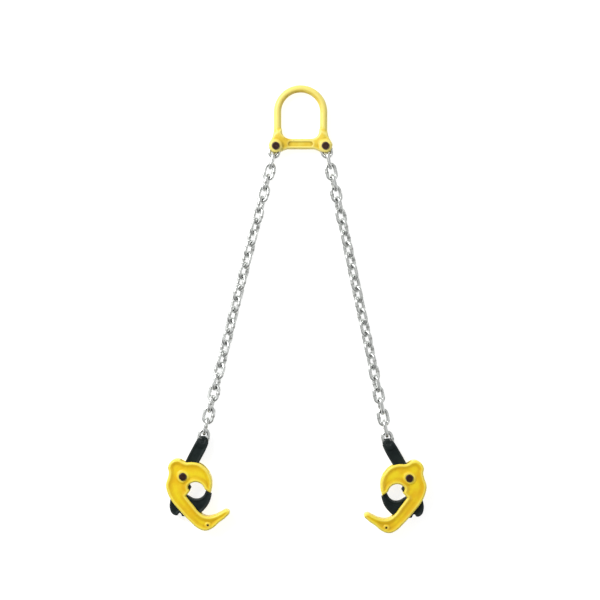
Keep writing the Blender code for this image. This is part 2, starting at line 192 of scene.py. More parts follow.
def noise(tree, where, scale, detail=3.0, rough=0.55):
    made = node(tree, "TexNoise", {
        "Vector": where, "Scale": scale, "Detail": detail, "Roughness": rough,
    })
    return made.outputs["Fac"]


def spread(tree, value, low, high, to_low=0.0, to_high=1.0):
    made = node(tree, "MapRange", {
        "Value": value, "From Min": low, "From Max": high, "To Min": to_low, "To Max": to_high,
    }, clamp=True, interpolation_type="SMOOTHSTEP")
    return made.outputs["Result"]


def blend(tree, share, a, b):
    made = node(tree, "Mix", data_type="RGBA")
    feed(tree, made.inputs["Factor"], share)
    feed(tree, made.inputs["A"], (*a, 1) if isinstance(a, tuple) else a)
    feed(tree, made.inputs["B"], (*b, 1) if isinstance(b, tuple) else b)
    return made.outputs["Result"]


def attribute(tree, name):
    return node(tree, "Attribute", attribute_name=name).outputs["Fac"]


def place_on_piece(tree):
    """The point on the piece in metres, moved by a random step for each object."""
    point = node(tree, "TexCoord").outputs["Object"]
    shift = maths(tree, "MULTIPLY", node(tree, "ObjectInfo").outputs["Random"], 7.0)
    moved = node(tree, "VectorMath", operation="ADD")
    feed(tree, moved.inputs[0], point)
    feed(tree, moved.inputs[1], shift)
    return moved.outputs[0]


def bump(tree, height, distance, strength, below=None):
    made = node(tree, "Bump", {"Height": height, "Distance": distance, "Strength": strength})
    if below is not None:
        feed(tree, made.inputs["Normal"], below)
    return made.outputs["Normal"]


def parting_line(tree):
    """The low ridge that two dies leave around the middle of a forging."""
    height = node(tree, "SeparateXYZ", {"Vector": node(tree, "TexCoord").outputs["Object"]}).outputs["Z"]
    return spread(tree, maths(tree, "ABSOLUTE", height), 0.0002, 0.0010, 1.0, 0.0)


def paint_material(name, body, deep, pale):
    """Gloss paint over a forging: uneven flow and orange peel, with a painted highlight that pales its edges
    and painted shade that darkens its hollows and a band given per point.
    """
    made, tree, shader = new_material(name)
    where = place_on_piece(tree)
    edge = attribute(tree, "edge")
    hollow = attribute(tree, "hollow")
    broad = noise(tree, where, 38.0, 4.0)
    fine = noise(tree, where, 420.0, 3.0, 0.6)
    grain = noise(tree, where, 1500.0, 2.0)
    colour = blend(tree, spread(tree, broad, 0.35, 0.68), body, deep)
    # Painted highlight: the paint turns paler along sharp edges.
    colour = blend(tree, maths(tree, "MULTIPLY", spread(tree, edge, 0.04, 0.34), 0.7), colour, pale)
    # Painted shade: darker along a band given per point, broken up by noise.
    uneven_shade = spread(tree, noise(tree, where, 60.0, 3.0), 0.25, 0.7, 0.25, 0.75)
    painted_shade_band = maths(tree, "MULTIPLY", attribute(tree, "painted_shade_band"), uneven_shade)
    colour = blend(tree, painted_shade_band, colour, tuple(0.85 * c for c in deep))
    # Painted shade: darker in hollows.
    hollow_shade = maths(tree, "MULTIPLY", spread(tree, hollow, 0.02, 0.28), 0.8)
    colour = blend(tree, hollow_shade, colour, tuple(0.62 * c for c in deep))
    dust = maths(tree, "MULTIPLY", spread(tree, fine, 0.62, 0.8), 0.12)
    colour = blend(tree, dust, colour, tuple(0.6 * c for c in body))
    chipped = spread(tree, noise(tree, where, 170.0, 5.0, 0.7), 0.62, 0.66)
    scuffed = maths(tree, "MULTIPLY", spread(tree, edge, 0.40, 0.65), chipped)
    colour = blend(tree, scuffed, colour, BARE_IRON)
    feed(tree, shader.inputs["Base Color"], colour)
    feed(tree, shader.inputs["Metallic"], maths(tree, "MULTIPLY", scuffed, 0.5))
    uneven = spread(tree, noise(tree, where, 95.0, 4.0, 0.6), 0.3, 0.7, 0.27, 0.44)
    duller = maths(tree, "MULTIPLY", hollow, 0.2)
    feed(tree, shader.inputs["Roughness"], maths(tree, "ADD", uneven, duller))
    shader.inputs["Specular IOR Level"].default_value = 0.3
    shader.inputs["Coat Weight"].default_value = 0.08
    shader.inputs["Coat Roughness"].default_value = 0.2
    cast = bump(tree, noise(tree, where, 130.0, 4.0, 0.55), 0.0009, 0.55)
    cast = bump(tree, parting_line(tree), 0.0005, 0.7, cast)
    peel = bump(tree, fine, 0.00022, 0.5, cast)
    feed(tree, shader.inputs["Normal"], bump(tree, grain, 0.00005, 0.4, peel))
    return made


def lever_material():
    """Green-black paint on a forging, lighter along its edges: a painted sheen, with patchy rubbed wear."""
    made, tree, shader = new_material("black_lever")
    where = place_on_piece(tree)
    edge = attribute(tree, "edge")
    broad = noise(tree, where, 45.0, 4.0)
    colour = blend(tree, spread(tree, broad, 0.3, 0.7), (0.006, 0.0105, 0.0105), (0.013, 0.020, 0.0195))
    patchy = spread(tree, noise(tree, where, 120.0, 5.0, 0.7), 0.3, 0.7)
    # Painted highlight with rubbed wear: patchy lighter colour along the edges.
    edge_sheen_and_wear = maths(tree, "MULTIPLY", spread(tree, edge, 0.15, 0.6), patchy)
    colour = blend(tree, maths(tree, "MULTIPLY", edge_sheen_and_wear, 0.5), colour, (0.055, 0.065, 0.065))
    chipped = spread(tree, noise(tree, where, 210.0, 4.0, 0.7), 0.57, 0.63)
    bare = maths(tree, "MULTIPLY", spread(tree, edge, 0.5, 0.8), chipped)
    colour = blend(tree, bare, colour, (0.3, 0.29, 0.28))
    feed(tree, shader.inputs["Base Color"], colour)
    feed(tree, shader.inputs["Metallic"], bare)
    uneven = spread(tree, noise(tree, where, 160.0, 4.0, 0.6), 0.3, 0.7, 0.36, 0.52)
    feed(tree, shader.inputs["Roughness"], uneven)
    shader.inputs["Specular IOR Level"].default_value = 0.13
    scale = bump(tree, noise(tree, where, 150.0, 5.0, 0.6), 0.0010, 0.6)
    scale = bump(tree, parting_line(tree), 0.0005, 0.7, scale)
    feed(tree, shader.inputs["Normal"], bump(tree, noise(tree, where, 700.0, 3.0, 0.6), 0.00018, 0.5, scale))
    return made


def zinc_material():
    """Bright zinc plate: crystal mottling, drawing marks, a dull weld, and contacts darkened nearly black:
    painted shade between links, with wear.
    """
    made, tree, shader = new_material("zinc_chain")
    where = place_on_piece(tree)
    weld = attribute(tree, "weld")
    contact = attribute(tree, "contact")
    crystals = node(tree, "TexVoronoi", {"Vector": where, "Scale": 620.0, "Randomness": 1.0}).outputs["Color"]
    mottled = node(tree, "SeparateColor", {"Color": crystals}).outputs[0]
    cloudy = noise(tree, where, 210.0, 4.0, 0.6)
    colour = blend(tree, spread(tree, cloudy, 0.3, 0.72), (0.84, 0.85, 0.83), (0.62, 0.64, 0.62))
    colour = blend(tree, maths(tree, "MULTIPLY", mottled, 0.16), colour, (0.42, 0.43, 0.45))
    colour = blend(tree, maths(tree, "MULTIPLY", weld, 0.6), colour, (0.22, 0.22, 0.205))
    # Painted shade between links, with contact wear: nearly black where links bear.
    uneven = spread(tree, noise(tree, where, 330.0, 4.0, 0.6), 0.2, 0.55, 0.75, 1.0)
    contact_shade_and_wear = maths(tree, "MULTIPLY", spread(tree, contact, 0.0, 0.32), uneven)
    colour = blend(tree, contact_shade_and_wear, colour, (0.05, 0.052, 0.047))
    feed(tree, shader.inputs["Base Color"], colour)
    shader.inputs["Metallic"].default_value = 0.92
    rough = spread(tree, cloudy, 0.3, 0.7, 0.24, 0.40)
    rough = maths(tree, "ADD", rough, maths(tree, "MULTIPLY", weld, 0.22))
    rough = maths(tree, "ADD", rough, maths(tree, "MULTIPLY", contact_shade_and_wear, 0.1))
    feed(tree, shader.inputs["Roughness"], rough)
    drawn = bump(tree, noise(tree, where, 900.0, 3.0, 0.6), 0.00012, 0.45)
    dents = bump(tree, noise(tree, where, 240.0, 3.0), 0.0005, 0.35, drawn)
    feed(tree, shader.inputs["Normal"], dents)
    return made


def pin_material():
    """Dark phosphated steel, browned, with turned rings on its flat faces."""
    made, tree, shader = new_material("dark_pin")
    where = place_on_piece(tree)
    edge = attribute(tree, "edge")
    broad = noise(tree, where, 160.0, 4.0)
    colour = blend(tree, spread(tree, broad, 0.3, 0.7), (0.026, 0.0095, 0.006), (0.046, 0.021, 0.014))
    # Painted highlight with rubbed wear: lighter colour along sharp edges.
    edge_sheen_and_wear = maths(tree, "MULTIPLY", spread(tree, edge, 0.2, 0.8), 0.5)
    colour = blend(tree, edge_sheen_and_wear, colour, (0.16, 0.13, 0.12))
    feed(tree, shader.inputs["Base Color"], colour)
    shader.inputs["Metallic"].default_value = 0.3
    shader.inputs["Specular IOR Level"].default_value = 0.22
    uneven = spread(tree, noise(tree, where, 500.0, 4.0, 0.6), 0.3, 0.7, 0.38, 0.56)
    feed(tree, shader.inputs["Roughness"], uneven)
    rings = node(tree, "TexWave", {
        "Vector": node(tree, "TexCoord").outputs["Object"], "Scale": 420.0, "Distortion": 0.4, "Detail": 1.0,
    }, wave_type="RINGS", rings_direction="Z").outputs["Fac"]
    turned = bump(tree, rings, 0.00006, 0.5)
    feed(tree, shader.inputs["Normal"], bump(tree, noise(tree, where, 800.0, 3.0), 0.0001, 0.5, turned))
    return made


def floor_material():
    made, tree, shader = new_material("pale_floor")
    where = node(tree, "TexCoord").outputs["Object"]
    cloudy = noise(tree, where, 3.0, 3.0)
    colour = blend(tree, cloudy, (0.44, 0.44, 0.438), (0.47, 0.47, 0.47))
    feed(tree, shader.inputs["Base Color"], colour)
    feed(tree, shader.inputs["Roughness"], spread(tree, noise(tree, where, 30.0), 0.3, 0.7, 0.6, 0.72))
    shader.inputs["Specular IOR Level"].default_value = 0.1
    shader.inputs["Emission Color"].default_value = (1.0, 1.0, 1.0, 1.0)
    shader.inputs["Emission Strength"].default_value = FLOOR_GLOW
    feed(tree, shader.inputs["Normal"], bump(tree, noise(tree, where, 900.0, 2.0), 0.0001, 0.2))
    return made


# ---------------------------------------------------------------- solids from distance fields

def grid(low, high):
    """Sparse X, Y and Z of a box of points, with room for the surface to close."""
    step = GRID_STEP
    axes = [np.arange(lo - 2.5 * step, hi + 3 * step, step) for lo, hi in zip(low, high)]
    return np.meshgrid(*axes, indexing="ij", sparse=True)


def outline_distance(points, x, y):
    """Signed distance in the plane to a closed outline, negative inside."""
    nearest = np.full(np.broadcast(x, y).shape, 1e9)
    inside = np.zeros(nearest.shape, bool)
    for (ax, ay), (bx, by) in zip(points, np.roll(points, -1, axis=0)):
        ex, ey = bx - ax, by - ay
        if ex * ex + ey * ey < 1e-12:
            continue
        px, py = x - ax, y - ay
        t = np.clip((px * ex + py * ey) / (ex * ex + ey * ey), 0, 1)
        nearest = np.minimum(nearest, (px - ex * t) ** 2 + (py - ey * t) ** 2)
        if abs(ey) > 1e-9:
            inside ^= ((ay > y) != (by > y)) & (px < ex * py / ey)
    return np.where(inside, -1.0, 1.0) * np.sqrt(nearest)


def path_distance(points, x, y):
    """Distance in the plane to a closed path."""
    return np.abs(outline_distance(points, x, y))


def slab(planar, z, half, rounding=0.0):
    """A plate from an in-plane distance: half its thickness, and how round its edges are."""
    a = planar + rounding
    b = np.abs(z) - half + rounding
    outside = np.hypot(np.maximum(a, 0), np.maximum(b, 0))
    return outside + np.minimum(np.maximum(a, b), 0) - rounding


def joined(a, b, fillet):
    """Both solids as one, with a fillet where they meet."""
    h = np.clip(0.5 + 0.5 * (b - a) / fillet, 0, 1)
    return b + (a - b) * h - fillet * h * (1 - h)


def without(a, b, fillet):
    """The first solid with the second cut out of it, and the cut's edges rounded."""
    return -joined(-a, b, fillet)


def ramp(value, low, high):
    """A smooth step from 0 at the low value to 1 at the high one."""
    t = np.clip((value - low) / (high - low), 0, 1)
    return t * t * (3 - 2 * t)


def corners_of(array):
    """The eight corners of every cell, as views of the array."""
    ends = [(slice(0, -1), slice(1, None))] * 3
    return {c: array[ends[0][c[0]], ends[1][c[1]], ends[2][c[2]]] for c in product((0, 1), repeat=3)}


def softened(field):
    """How full the neighbourhood of each point is: under a half on edges, over it in hollows."""
    full = np.clip(0.5 - field / (2 * GRID_STEP), 0, 1).astype(np.float32)
    for _ in range(SOFTENING_PASSES):
        for axis in range(3):
            full = (np.roll(full, 1, axis) + 2 * full + np.roll(full, -1, axis)) / 4
    return full


def surface(field, low):
    """A closed mesh where the field is zero.

    It has one vertex in each cell that the surface crosses and one quad around each edge that it crosses.
    Also returns each vertex's cell, and its place in that cell from 0 to 1.
    """
    inside = field < 0
    corner_inside = corners_of(inside)
    count = sum(c.astype(np.int8) for c in corner_inside.values())
    active = (count > 0) & (count < 8)
    index = np.full(active.shape, -1, np.int64)
    index[active] = np.arange(active.sum())
    cells = np.argwhere(active)
    total = np.zeros((len(cells), 3))
    hits = np.zeros(len(cells))
    values = {c: v[active] for c, v in corners_of(field).items()}
    for start, axis in product(values, range(3)):
        if start[axis]:
            continue
        end = tuple(1 if k == axis else start[k] for k in range(3))
        a, b = values[start], values[end]
        crossed = (a < 0) != (b < 0)
        share = a[crossed] / (a[crossed] - b[crossed])
        point = np.tile(np.array(start, float), (crossed.sum(), 1))
        point[:, axis] = share
        total[crossed] += point
        hits[crossed] += 1
    share = total / hits[:, None]
    points = np.array(low) + (cells + share) * GRID_STEP
    quads = []
    for axis in range(3):
        u, v = (axis + 1) % 3, (axis + 2) % 3
        here = [slice(1, -1)] * 3
        here[axis] = slice(0, -1)
        there = list(here)
        there[axis] = slice(1, None)
        first, second = inside[tuple(here)], inside[tuple(there)]
        for turned, crossed in ((False, first & ~second), (True, ~first & second)):
            at = np.argwhere(crossed)
            at[:, u] += 1
            at[:, v] += 1
            ring = []
            for du, dv in ((-1, -1), (0, -1), (0, 0), (-1, 0)):
                cell = at.copy()
                cell[:, u] += du
                cell[:, v] += dv
                ring.append(index[cell[:, 0], cell[:, 1], cell[:, 2]])
            quad = np.stack(ring, axis=1)
            quads.append(quad[:, ::-1] if turned else quad)
    return points, np.concatenate(quads), cells, share


def mesh_from(name, points, faces, values=(), mirrored=False):
    """A smooth mesh in metres from points in millimetres, with its named point values."""
    points = np.array(points, float)
    faces = np.array(faces)
    if mirrored:
        points = points * (-1, 1, 1)
        faces = faces[:, ::-1]
    mesh = bpy.data.meshes.new(name)
    mesh.from_pydata((points * MM).tolist(), [], faces.tolist())
    for key, value in dict(values).items():
        layer = mesh.attributes.new(key, "FLOAT", "POINT")
        layer.data.foreach_set("value", np.asarray(value, np.float32))
    mesh.shade_smooth()
    mesh.update()
    return mesh


def forged(name, field, axes, painted_shade_band, mirrored=False):
    """The mesh of a field, and its mirror image if asked.

    Each point has how sharp an edge it is on, how deep in a hollow it lies, and its share of the band of
    painted shade.
    """
    low = [float(axis.min()) for axis in axes]
    field = np.broadcast_to(field, np.broadcast(*axes).shape)
    points, faces, cells, share = surface(field, low)
    full = softened(field)
    near = np.zeros(len(cells))
    for corner in product((0, 1), repeat=3):
        near += np.prod(np.where(corner, share, 1 - share), axis=1) * full[tuple((cells + corner).T)]
    painted_shade_band = np.broadcast_to(painted_shade_band, field.shape)[tuple(cells.T)]
    values = {
        "edge": np.clip((0.5 - near) * 4, 0, 1),
        "hollow": np.clip((near - 0.5) * 4, 0, 1),
        "painted_shade_band": painted_shade_band,
    }
    made = [mesh_from(name, points, faces, values)]
    if mirrored:
        made.append(mesh_from(name + "_mirrored", points, faces, values, mirrored=True))
    return made


def arc(centre, radius, start_deg, end_deg, facets):
    """The points of an arc, or one point if it has no facets."""
    angles = np.radians(np.linspace(start_deg, end_deg, facets + 1))
    return np.stack([centre[0] + radius * np.cos(angles), centre[1] + radius * np.sin(angles)], axis=1)


def outline(points):
    """A rounded outline through points (x, y, corner), with a corner where it says."""
    curve = bpy.data.curves.new("outline", "CURVE")
    curve.dimensions = "3D"
    curve.resolution_u = OUTLINE_FACETS
    spline = curve.splines.new("BEZIER")
    spline.bezier_points.add(len(points) - 1)
    for knot, (x, y, corner) in zip(spline.bezier_points, points, strict=True):
        knot.co = (x, y, 0)
        knot.handle_left_type = knot.handle_right_type = "VECTOR" if corner else "AUTO"
    spline.use_cyclic_u = True
    guide = bpy.data.objects.new("outline", curve)
    bpy.context.scene.collection.objects.link(guide)
    bpy.context.view_layer.update()
    mesh = bpy.data.meshes.new_from_object(guide.evaluated_get(bpy.context.evaluated_depsgraph_get()))
    found = np.array([v.co[:2] for v in mesh.vertices])
    bpy.data.objects.remove(guide)
    bpy.data.curves.remove(curve)
    bpy.data.meshes.remove(mesh)
    return found


def add_piece(name, mesh, matrix, body, material, replaced=()):
    """Adds a piece with its turn in its mesh, so that its box is as small as it is."""
    turn = matrix.to_3x3().to_4x4()
    if turn != Matrix():
        mesh = mesh.copy()
        mesh.transform(turn)
    piece = bpy.data.objects.new(name, mesh)
    bpy.context.scene.collection.objects.link(piece)
    piece.location = matrix.translation
    if not mesh.materials:
        mesh.materials.append(material)
    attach(piece, body)
    if replaced:
        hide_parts(*replaced)
    return piece


# ---------------------------------------------------------------- master link

def master_link_mesh():
    """The forged ring with its flat bar, forked ears, raised bosses and plain recess."""
    axes = grid((-51, -99, -10.5), (51, 12, 10.5))
    x, y, z = axes
    ax = np.abs(x)
    corner_x = RING_HALF_WIDTH - RING_CORNER_RADIUS
    corner_y = RING_BOTTOM + RING_CORNER_RADIUS
    path = np.concatenate([
        arc((0, RING_CROWN_Y), RING_HALF_WIDTH, 0, 180, 40),
        arc((-corner_x, corner_y), RING_CORNER_RADIUS, 180, 270, 12),
        arc((corner_x, corner_y), RING_CORNER_RADIUS, 270, 360, 12),
    ])
    ring = np.hypot(path_distance(path, x, y), z) - (RING_WIRE_RADIUS - 0.05)
    inner_corner = (RING_HALF_WIDTH - RING_WIRE_RADIUS - BAR_CORNER_RADIUS, BAR_TOP + BAR_CORNER_RADIUS)
    right = np.concatenate([
        [(21.5, -91)],
        arc((LOAD_PIN_X, LOAD_PIN_Y), EAR_RADIUS - 0.2, -120, 25, 16),
        [(42.6, -66)],
        arc(inner_corner, BAR_CORNER_RADIUS, 0, -90, 8),
    ])
    plane = outline_distance(np.concatenate([right, right[::-1] * (-1, 1)]), x, y)
    bar = slab(plane, z, BAR_HALF_THICKNESS, 3.0)
    solid = joined(ring, bar, 5.0)
    pin_distance = np.hypot(ax - LOAD_PIN_X, y - LOAD_PIN_Y)
    ear = slab(pin_distance - EAR_RADIUS + 0.5, z, EAR_HALF_THICKNESS - 0.6, 2.0)
    solid = joined(solid, ear, 4.0)
    boss = slab(pin_distance - EAR_BOSS_RADIUS, z, EAR_HALF_THICKNESS - 0.1, 0.6)
    solid = joined(solid, boss, 1.0)
    recess = np.hypot(np.maximum(ax - RECESS_HALF_LENGTH, 0), y - RECESS_Y) - RECESS_HALF_WIDTH
    solid = without(solid, np.maximum(recess, RECESS_FLOOR - np.abs(z)), 1.6)
    below = np.maximum(LOAD_PIN_X - EAR_SLOT_RADIUS - ax, y - LOAD_PIN_Y)
    slot = np.minimum(pin_distance - EAR_SLOT_RADIUS, below)
    solid = without(solid, np.maximum(slot, np.abs(z) - EAR_SLOT_HALF), 0.9)
    # The second link's crown sweeps round the pin, and the ear is cut back for it.
    orbit = 2 * LINK_PITCH - 2 * (LINK_HALF_STRAIGHT + LINK_INNER_HALF) - LOAD_SHAFT_RADIUS + LINK_INNER_HALF
    crown = np.hypot(pin_distance - orbit, z) - SECOND_LINK_REACH
    window = np.maximum(LOAD_PIN_X - WIRE_RADIUS - 1.6 - ax, y - LOAD_PIN_Y - 0.5)
    solid = without(solid, np.maximum(crown, window), 1.2)
    hole = pin_distance - LOAD_HOLE_RADIUS
    sunk = pin_distance - LOAD_HOLE_RADIUS - np.clip(-z - (EAR_HALF_THICKNESS - 1.6), 0, 1.6)
    solid = without(solid, np.minimum(hole, sunk), 0.5)
    # Painted shade: darker inside the crown, and on the top face beside the left ear where the bar meets the
    # ring.
    inner_crown_shade = ramp(RING_HALF_WIDTH - np.hypot(x, y - RING_CROWN_Y), 0.5, 5.0) * ramp(y, -30.0, -8.0)
    ear_corner_shade = 1.6 * ramp(13.0 - np.hypot(x + 25.0, (y + 80.0) * 1.2), 0.0, 7.0) * ramp(z, 1.0, 5.0)
    return forged("master_link", solid, axes, np.maximum(inner_crown_shade, ear_corner_shade))[0]


# ---------------------------------------------------------------- chain

def link_mesh():
    """A welded link along Y: round bends, a weld bead on one side, and wear where links bear."""
    bend, straight, around = 16, 10, 16
    centres, tangents = [], []
    for end in (1, -1):
        for i in range(bend):
            angle = math.pi * i / bend + (0 if end > 0 else math.pi)
            out, along = math.cos(angle), math.sin(angle)
            centres.append((LINK_BEND_RADIUS * out, end * LINK_HALF_STRAIGHT + LINK_BEND_RADIUS * along))
            tangents.append((-along, out))
        for i in range(straight):
            y = end * LINK_HALF_STRAIGHT * (1 - 2 * i / straight)
            centres.append((-end * LINK_BEND_RADIUS, y))
            tangents.append((0, -end))
    points, faces, weld, contact = [], [], [], []
    rows = len(centres)
    for (cx, cy), (tx, ty) in zip(centres, tangents):
        outward = (ty, -tx)
        seam = math.exp(-((cy / 1.1) ** 2)) if cx > 6.9 else 0.0
        flash = math.exp(-((cy / 2.4) ** 2)) if cx > 6.9 else 0.0
        crown = ramp(abs(cy), LINK_HALF_STRAIGHT + 3.5, LINK_HALF_STRAIGHT + LINK_BEND_RADIUS)
        for k in range(around):
            a = 2 * math.pi * k / around
            inward = max(0.0, -math.cos(a))
            bear = crown * inward ** 2
            radius = WIRE_RADIUS - 0.06 + 0.2 * seam + 0.1 * flash - 0.12 * bear
            level = radius * math.cos(a)
            points.append((cx + level * outward[0], cy + level * outward[1], radius * math.sin(a)))
            weld.append(min(1.0, 0.35 * flash + seam))
            contact.append(bear)
    for i in range(rows):
        for k in range(around):
            j, m = (i + 1) % rows, (k + 1) % around
            faces.append((i * around + k, i * around + m, j * around + m, j * around + k))
    return mesh_from("chain_link", points, faces, {"weld": weld, "contact": contact})


def twist_share(index):
    """How far the link has turned to its rest on the floor, from 0 in a fork to 1 in the middle of a leg."""
    return min(max(min(index - 2, LINK_COUNT - 1 - index) / TWIST_STEPS, 0), 1)


def contact_height(index):
    """The height of the chain's line at the lower end of a link: on the floor, then up to the clamp."""
    twist = math.radians(TWIST_DEG * twist_share(index + 0.5))
    lie = LINK_BEND_RADIUS * math.cos(twist) + WIRE_RADIUS + 0.3
    rise = float(ramp((index - (LINK_COUNT - 1 - RISE_LINKS)) / RISE_LINKS, 0.0, 1.0))
    return lie + (CLAW_HEIGHT - RING_HEIGHT) * rise


def link_direction(leg, index):
    """The way down the leg along a link."""
    first, last = SPREAD_DEG[leg]
    angle = math.radians(first + (last - first) * (index - 1) / (LINK_COUNT - 1))
    rise = (contact_height(index) - contact_height(index - 1)) / LINK_PITCH
    level = math.sqrt(1 - rise * rise)
    return Vector((SIDE[leg] * math.sin(angle) * level, -math.cos(angle) * level, rise))


def link_matrix(leg, index, centre):
    """Where a link lies, with its length along Y and its turn about that."""
    up_leg = -link_direction(leg, index)
    flat = up_leg.cross(Vector((0, 0, 1))).normalized()
    turned = Matrix((flat, up_leg, flat.cross(up_leg))).transposed().to_4x4()
    twist = SIDE[leg] * TWIST_DEG * twist_share(index) + (90 if index % 2 == 0 else 0)
    # The weld lies on one side of a link or the other, as the chain was made.
    flip = 180 if (index * 7 + (leg == "left") * 3) % 5 < 2 else 0
    return Matrix.Translation(centre) @ turned @ Matrix.Rotation(math.radians(twist + flip), 4, "Y")


def node_of_link(leg, index):
    """The CAD node that holds a link, alone or with its neighbour."""
    for first in (index, index - 1):
        name = f"{leg}_links_{first:02d}_{first + 1:02d}"
        if name in frame["nodes"]:
            return name
    return f"{leg}_link_{index:02d}"


def add_leg(leg, mesh, material):
    """A leg's links, each set out from the last one's centre."""
    pin = Vector(JOINTS[f"{leg}_leg_swing"]["pos_m"])
    centre = pin + link_direction(leg, 1) * LINK_TOP_TO_PIN * MM
    done = set()
    for index in range(1, LINK_COUNT + 1):
        if index > 1:
            step = link_direction(leg, index - 1) + link_direction(leg, index)
            centre = centre + step * (LINK_PITCH * MM / 2)
        target = node_of_link(leg, index)
        stands_for = [] if target in done else [target]
        done.add(target)
        place = link_matrix(leg, index, centre)
        name = f"{leg}_chain_link_{index:02d}"
        add_piece(name, mesh, place, target, material, stands_for)


# ---------------------------------------------------------------- clamps

# Outlines of the left clamp from its pivot pin, as (x, y, corner)
CLAW_OUTLINE = (
    (-24.0, 15.0, 0), (-17.0, 25.5, 0), (-7.0, 27.4, 0), (4.0, 22.8, 0), (16.0, 22.9, 0),
    (27.5, 20.0, 0), (37.5, 11.8, 0), (44.5, 0.5, 0), (46.6, -12.5, 0), (44.6, -26.6, 1),
    (35.2, -21.0, 1), (31.4, -14.2, 0), (25.5, -10.1, 0), (18.5, -9.2, 0), (11.6, -12.0, 0),
    (8.2, -16.6, 0), (11.2, -23.4, 1), (4.8, -31.4, 1),
    (15.6, -44.6, 0), (27.2, -58.0, 0), (37.0, -63.6, 0), (50.0, -62.2, 0), (61.0, -57.0, 0),
    (69.5, -53.4, 0), (74.6, -57.0, 0),
    (69.0, -65.0, 0), (58.0, -73.6, 0), (47.0, -83.0, 0), (36.0, -86.8, 0), (25.5, -83.8, 0),
    (12.0, -72.6, 0), (-4.5, -55.4, 0), (-19.0, -37.6, 0), (-26.0, -22.0, 0), (-27.2, -13.0, 0),
    (-24.2, -2.0, 0), (-22.6, 6.5, 0),
)

LEVER_OUTLINE = (
    (-1.2, 14.0, 1), (16.4, 48.6, 0), (23.0, 59.4, 0), (26.6, 62.9, 0), (31.4, 63.8, 0),
    (36.4, 62.7, 0), (39.4, 59.4, 0), (40.4, 54.6, 0), (38.9, 48.6, 0), (20.4, 12.4, 1),
    (14.2, -1.5, 0), (9.6, -10.2, 0), (13.2, -18.4, 1), (10.2, -22.4, 0), (4.4, -27.4, 0),
    (10.0, -32.6, 0), (20.6, -36.6, 0), (30.8, -32.9, 0), (36.9, -22.6, 1), (45.6, -27.95, 1),
    (44.6, -34.0, 0), (41.2, -43.6, 0), (35.6, -51.6, 0), (28.0, -58.8, 0),
    (13.0, -64.4, 0), (-1.5, -64.2, 1), (-5.6, -59.0, 0), (-9.4, -62.8, 0), (-16.6, -60.8, 0),
    (-21.2, -52.0, 0), (-20.6, -38.0, 0), (-15.6, -22.0, 0), (-13.6, -6.0, 0), (-11.2, 9.0, 0),
)


def slot_outline():
    """The room in the claw for the lever's arm, hub, jaw and heel, open past the claw's own edge."""
    open_arm = math.radians(LEVER_ARM_DEG - JAW_OPEN_DEG)
    along = Vector((math.cos(open_arm), math.sin(open_arm)))
    beside = Vector((along.y, -along.x)) * (ARM_RIGHT + 0.7)
    face = Vector((math.cos(math.radians(BEAK_FACE_DEG)), math.sin(math.radians(BEAK_FACE_DEG))))
    apex = face * (beside.length_squared / beside.dot(face))
    start = beside + along * SWEEP_RADIUS
    return np.concatenate([
        [tuple(apex), tuple(start)],
        arc((0, 0), 2 * SWEEP_RADIUS, 45, 45, 0),
        arc((0, 0), SWEEP_RADIUS, 100, 100, 0),
        arc((0, 0), HUB_RADIUS, 100, 172, 10),
        arc((0, 0), SWEEP_RADIUS, 172, 360 + BEAK_FACE_DEG, 40),
    ])


def claw_meshes():
    """The claw: a casting with a raised rim, a sunk web and a boss at its pivot, slotted for the lever."""
    axes = grid((-28, -88, -13), (76, 29, 13))
    x, y, z = axes
    plane = outline_distance(outline(CLAW_OUTLINE), x, y) + 0.06
    pivot = np.hypot(x, y)
    toe = np.hypot(x - TOE_HOLE[0], y - TOE_HOLE[1])
    sunk = ramp(-plane, 2.4, 8.5) * 1.1
    sunk = sunk * ramp(pivot, 8.2, 12.0) * ramp(toe, 3.2, 6.4)
    body = slab(plane, np.abs(z) + sunk, CLAW_HALF - 0.05, 3.4)
    slot = slab(outline_distance(slot_outline(), x, y), z, SLOT_HALF)
    body = without(body, slot, 1.2)
    body = without(body, pivot - PIVOT_HOLE_RADIUS, 0.5)
    body = without(body, pivot - PIVOT_HOLE_RADIUS - np.clip(-z - (CLAW_HALF - 1.8), 0, 1.8), 0.4)
    body = without(body, toe - TOE_HOLE_RADIUS, 0.4)
    # Painted shade: a darker band just inside the raised rim.
    inside_rim_shade = ramp(-plane, 2.5, 5.5) * (1 - ramp(-plane, 6.5, 13.0))
    return forged("claw_body", body, axes, inside_rim_shade, mirrored=True)


def lever_meshes():
    """The cam lever, with a fork for the last link, a hub of full thickness and grip teeth on its jaw."""
    axes = grid((-22, -66, -7), (47, 65, 7))
    x, y, z = axes
    plane = outline_distance(outline(LEVER_OUTLINE), x, y)
    pivot = np.hypot(x, y)
    tip = np.hypot(x - LEVER_PIN[0], y - LEVER_PIN[1])
    waist = ramp(-plane, 2.2, 5.2) * ramp(pivot, 12.5, 15.5) * ramp(tip, 10.0, 13.0) * 0.9
    body = slab(plane, np.abs(z) + waist, LEVER_HALF - 0.05, 1.8)
    body = without(body, np.maximum(tip - FORK_RADIUS, np.abs(z) - FORK_HALF), 0.7)
    body = without(body, pivot - PIVOT_HOLE_RADIUS, 0.4)
    body = without(body, tip - CROSS_HOLE_RADIUS, 0.3)
    first, second = np.array(JAW_FACE)
    for share in GROOVES:
        groove = first + (second - first) * share
        body = without(body, np.hypot(x - groove[0], y - groove[1]) - GROOVE_RADIUS, 0.4)
    return forged("cam_lever", body, axes, 0.0, mirrored=True)


def machined_mesh(name, points, faces, edge):
    """A mesh in metres from points in millimetres, with how sharp an edge each point is on."""
    mesh = bpy.data.meshes.new(name)
    mesh.from_pydata([tuple(c * MM for c in p) for p in points], [], faces)
    layer = mesh.attributes.new("edge", "FLOAT", "POINT")
    layer.data.foreach_set("value", np.array(edge, np.float32))
    return mesh


def smoothed(mesh):
    mesh.shade_smooth()
    mesh.set_sharp_from_angle(angle=math.radians(SHARP_DEG))
    return mesh


